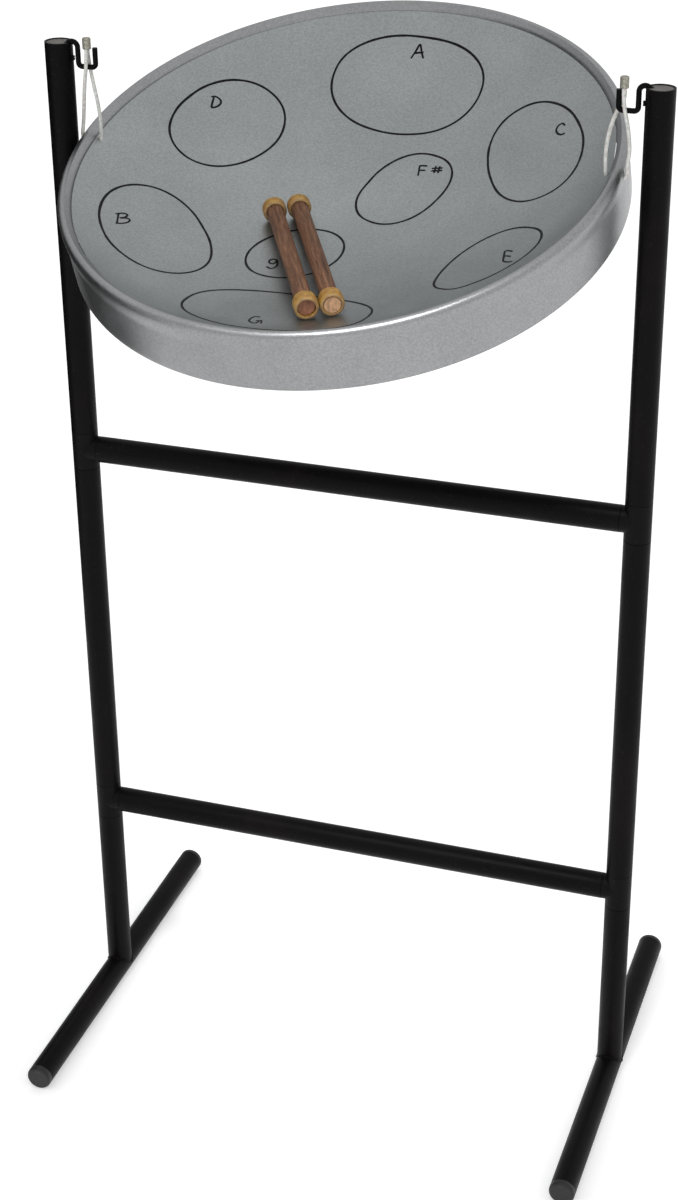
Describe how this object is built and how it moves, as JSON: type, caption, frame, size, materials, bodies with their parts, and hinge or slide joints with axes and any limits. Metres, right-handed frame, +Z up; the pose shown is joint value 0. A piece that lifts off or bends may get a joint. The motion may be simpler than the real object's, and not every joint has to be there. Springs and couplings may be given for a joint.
{
  "type": "steelpan",
  "caption": "Shallow round steelpan hung tilted by cable loops from a tubular post stand, with rubber-ended mallets lying in its bowl.",
  "frame": {"origin": "on the floor, midway between the axes of the two posts", "axes": "+Z up, +X towards the player's right along the rungs, +Y away from the player, so the playing face tilts down towards -Y"},
  "size_m": [0.4792, 0.4125, 0.865],
  "materials": {
    "tube_enamel": "satin black enamel",
    "tee_enamel": "satin black enamel",
    "cap_plastic": "black moulded plastic",
    "plug_plastic": "taupe grey moulded plastic",
    "hook_enamel": "black enamelled rod",
    "screw_black": "blackened steel",
    "cable_coat": "milky vinyl coating over wire rope",
    "ferrule_metal": "dull crimped aluminium",
    "rim_steel": "satin silver steel",
    "bowl_steel": "satin silver steel",
    "stick_wood": "oiled rosewood",
    "sleeve_rubber": "amber latex tube"
  },
  "bodies": {
    "stand": {"left_foot_tube": "tube_enamel", "right_foot_tube": "tube_enamel", "left_front_foot_cap": "cap_plastic", "left_rear_foot_cap": "cap_plastic", "right_front_foot_cap": "cap_plastic", "right_rear_foot_cap": "cap_plastic", "left_lower_post": "tube_enamel", "right_lower_post": "tube_enamel", "left_lower_tee": "tee_enamel", "right_lower_tee": "tee_enamel", "lower_rung": "tube_enamel", "left_middle_post": "tube_enamel", "right_middle_post": "tube_enamel", "left_upper_tee": "tee_enamel", "right_upper_tee": "tee_enamel", "upper_rung": "tube_enamel", "left_upper_post": "tube_enamel", "right_upper_post": "tube_enamel", "left_top_plug": "plug_plastic", "right_top_plug": "plug_plastic", "left_hook": "hook_enamel", "right_hook": "hook_enamel", "left_hook_set_screw": "screw_black", "right_hook_set_screw": "screw_black"},
    "loops": {"left_cable_loop": "cable_coat", "right_cable_loop": "cable_coat", "left_cable_ferrule": "ferrule_metal", "right_cable_ferrule": "ferrule_metal"},
    "pan": {"rim_and_skirt": "rim_steel", "playing_bowl": "bowl_steel"},
    "left_mallet": {"left_mallet_stick": "stick_wood", "left_mallet_front_sleeve": "sleeve_rubber", "left_mallet_rear_sleeve": "sleeve_rubber"},
    "right_mallet": {"right_mallet_stick": "stick_wood", "right_mallet_front_sleeve": "sleeve_rubber", "right_mallet_rear_sleeve": "sleeve_rubber"}
  },
  "joints": [
    {"name": "loop_swing", "type": "hinge", "parent": "stand", "child": "loops", "pos_m": [0, 0, 0.841], "axis": [1, 0, 0], "range_deg": [-10, 10]},
    {"name": "pan_tilt", "type": "hinge", "parent": "loops", "child": "pan", "pos_m": [-0.20864, 0.00611, 0.7814], "axis": [0.9991, -0.0297, 0.0299], "range_deg": [-19, 22]},
    {"name": "left_mallet_lift", "type": "slide", "parent": "pan", "child": "left_mallet", "axis": [-0.0379, -0.3256, 0.9448], "range_m": [0, 0.15]},
    {"name": "right_mallet_lift", "type": "slide", "parent": "pan", "child": "right_mallet", "axis": [-0.0379, -0.3256, 0.9448], "range_m": [0, 0.15]}
  ]
}
